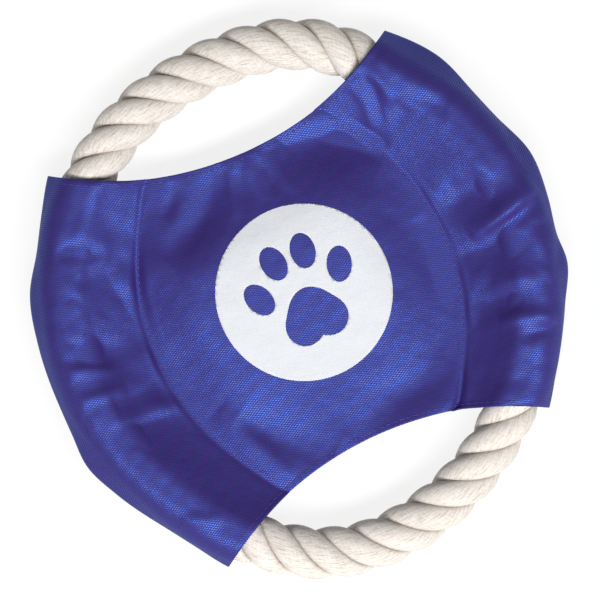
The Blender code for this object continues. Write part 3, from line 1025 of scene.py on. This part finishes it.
def make_cover_material():
    """Satin-faced polyester: glossy floats over matt gaps, the gaps darkened further by painted shade,
    with a slightly uneven dye.
    """
    material, nodes, links, shader = new_material("blue_oxford_cloth")
    share = add_weave(nodes, links)
    # The weave's pattern in colour, partly painted shade: the dyed blue on the floats, much darker in
    # the gaps between them.
    weave = add_ramp(nodes, links, share,
                     (0.25, (0.026, 0.002, 0.044)), (0.85, (0.062, 0.009, 0.152)))
    dye = add_ramp(nodes, links, add_noise(nodes, links, 0.09, 2.0, "cloth_place"),
                   (0.3, (0.90, 0.84, 0.86)), (0.7, (1, 1, 1)))
    links.new(add_tint(nodes, links, weave, dye), shader.inputs["Base Color"])
    add_bump(nodes, links, shader, share, 1.0, 0.05)
    gloss = nodes.new("ShaderNodeMapRange")
    gloss.inputs["From Min"].default_value = 0.35
    gloss.inputs["From Max"].default_value = 0.9
    gloss.inputs["To Min"].default_value = 0.80
    gloss.inputs["To Max"].default_value = 0.35
    links.new(share, gloss.inputs["Value"])
    links.new(gloss.outputs["Result"], shader.inputs["Roughness"])
    shader.inputs["IOR"].default_value = 2.0
    shader.inputs["Specular IOR Level"].default_value = 1.0
    shader.inputs["Specular Tint"].default_value = (0.10, 0.29, 1.0, 1)
    return material


def make_thread_material():
    """Twisted polyester thread: a fine light and dark along each stitch."""
    material, nodes, links, shader = new_material("blue_polyester_thread")
    twist = add_noise(nodes, links, 2500.0, 2.0)
    colour = add_ramp(nodes, links, twist, (0.35, (0.035, 0.022, 0.15)), (0.65, (0.075, 0.06, 0.30)))
    links.new(colour, shader.inputs["Base Color"])
    add_bump(nodes, links, shader, twist, 0.4, 0.05)
    shader.inputs["Roughness"].default_value = 0.45
    return material


def make_print_material():
    """White ink lying on the weave, thinner over its gaps."""
    material, nodes, links, shader = new_material("white_print_ink")
    share = add_weave(nodes, links)
    ink = add_ramp(nodes, links, share, (0.0, (0.585, 0.60, 0.635)), (0.6, (0.665, 0.68, 0.71)))
    worn = add_ramp(nodes, links, add_noise(nodes, links, 0.8, 3.0, "cloth_place"),
                    (0.30, (0.93, 0.93, 0.94)), (0.5, (1, 1, 1)))
    links.new(add_tint(nodes, links, ink, worn), shader.inputs["Base Color"])
    add_bump(nodes, links, shader, share, 0.5, 0.04)
    shader.inputs["Roughness"].default_value = 0.6
    return material


def make_tape_material():
    """White cloth tape with a fine weave and some grey wear."""
    material, nodes, links, shader = new_material("white_cloth_tape")
    worn = add_noise(nodes, links, 140.0, 3.0)
    colour = add_ramp(nodes, links, worn, (0.3, (0.50, 0.48, 0.44)), (0.6, (0.66, 0.65, 0.62)))
    links.new(colour, shader.inputs["Base Color"])
    add_bump(nodes, links, shader, add_noise(nodes, links, 1800.0, 1.0), 0.4, 0.08)
    shader.inputs["Roughness"].default_value = 0.7
    return material


def make_binding_material():
    """Waxed cotton thread wound round the rope's ends in fine, off-white turns."""
    material, nodes, links, shader = new_material("waxed_cotton_thread")
    turns = nodes.new("ShaderNodeTexWave")
    turns.bands_direction = "Y"
    turns.inputs["Scale"].default_value = 320.0
    turns.inputs["Distortion"].default_value = 0.6
    place = nodes.new("ShaderNodeTexCoord")
    links.new(place.outputs["Object"], turns.inputs["Vector"])
    colour = add_ramp(nodes, links, turns.outputs["Fac"],
                      (0.1, (0.36, 0.32, 0.25)), (0.7, (0.67, 0.61, 0.50)))
    links.new(colour, shader.inputs["Base Color"])
    add_bump(nodes, links, shader, turns.outputs["Fac"], 0.6, 0.2)
    shader.inputs["Roughness"].default_value = 0.55
    return material


def dress_cad_piece(name, material):
    """Gives a CAD node that stays in view its material and slot."""
    piece = bpy.data.objects[name]
    piece.data.materials.clear()
    piece.data.materials.append(material)


# Stage

def pale_stage(name, grey, glow):
    """Gives the newest object, a floor or a wall, a pale matt surface."""
    item = bpy.context.object
    item.name = name
    material, _, _, shader = new_material(f"pale_{name}")
    shader.inputs["Base Color"].default_value = (grey, grey, grey, 1)
    shader.inputs["Emission Color"].default_value = (1, 1, 1, 1)
    shader.inputs["Emission Strength"].default_value = glow
    shader.inputs["Roughness"].default_value = 0.9
    shader.inputs["Specular IOR Level"].default_value = 0.0
    item.data.materials.append(material)
    return item


def make_stage():
    """A pale floor, a pale wall far round it that gives no light, and a dim even sky."""
    reach = 8.0
    bpy.ops.mesh.primitive_plane_add(size=2 * reach, location=(0, 0, 0))
    pale_stage("floor", 0.15, 0.84)
    bpy.ops.mesh.primitive_cylinder_add(vertices=64, radius=reach, depth=reach,
                                        end_fill_type="NOTHING", location=(0, 0, reach / 2))
    wall = pale_stage("wall", 0.0, 0.9)
    wall.visible_diffuse = False
    wall.visible_glossy = False
    wall.visible_shadow = False
    world = bpy.data.worlds.new("studio")
    bpy.context.scene.world = world
    world.use_nodes = True
    world.node_tree.nodes["Background"].inputs["Color"].default_value = (1, 1, 1, 1)
    world.node_tree.nodes["Background"].inputs["Strength"].default_value = 0.14


def add_area_light(name, azimuth, elevation, distance, width, depth, power):
    """A soft panel that shines at the ring; its azimuth is in degrees from +x."""
    data = bpy.data.lights.new(name, "AREA")
    data.shape = "RECTANGLE"
    data.size = width
    data.size_y = depth
    data.energy = power
    lamp = bpy.data.objects.new(name, data)
    bpy.context.scene.collection.objects.link(lamp)
    a, e = math.radians(azimuth), math.radians(elevation)
    away = Vector((math.cos(a) * math.cos(e), math.sin(a) * math.cos(e), math.sin(e)))
    lamp.location = Vector(CENTRE) + away * distance
    lamp.rotation_euler = (-away).to_track_quat("-Z", "Y").to_euler()


def make_camera():
    """Straight above, turned so that the north mouth lies up and to the left."""
    sensor, view_width, height, turn = 36.0, 234.0 * MM, 1.5, -24.5
    aside = Vector((-0.68 * MM, -0.55 * MM, height))
    data = bpy.data.cameras.new("camera")
    data.sensor_width = sensor
    data.lens = sensor * height / view_width
    camera = bpy.data.objects.new("camera", data)
    bpy.context.scene.collection.objects.link(camera)
    camera.location = Vector(CENTRE) + aside
    camera.rotation_euler = (0, 0, math.radians(turn))
    bpy.context.scene.camera = camera


make_camera()
make_stage()
add_area_light("key", azimuth=-97.0, elevation=60.0, distance=3.0, width=4.4, depth=0.8, power=150.0)
bpy.context.scene.view_settings.view_transform = "Standard"

rope_material = make_rope_material()
for number in range(1, STRAND_COUNT + 1):
    make_strand(number, rope_material)

cover_material = make_cover_material()
thread_material = make_thread_material()
for side, layer in ((1, "top"), (-1, "bottom")):
    grid = cover_grid(TOP_LOFT if side > 0 else 0.0)
    grid = settle(grid, side)
    grid = folded(refine(grid), TOP_FOLDS if side > 0 else BOTTOM_FOLDS, 80 + side)
    if side < 0:
        grid[..., 2] = np.minimum(grid[..., 2], MID_HEIGHT - CLOTH / 2 - FLOOR_GAP)
    panel = make_cloth(f"{layer}_cloth", grid * (1, 1, side), side, cover_material, f"{layer}_panel")
    find = height_finder(panel)
    going_with = make_panel_threads(find, side, layer, thread_material)
    if side > 0:
        going_with.append(make_print(find, make_print_material()))
make_edge_threads(thread_material)

dress_cad_piece("rope_joint_tape", make_tape_material())
binding_material = make_binding_material()
for number in (1, 2):
    dress_cad_piece(f"rope_end_binding_{number}", binding_material)
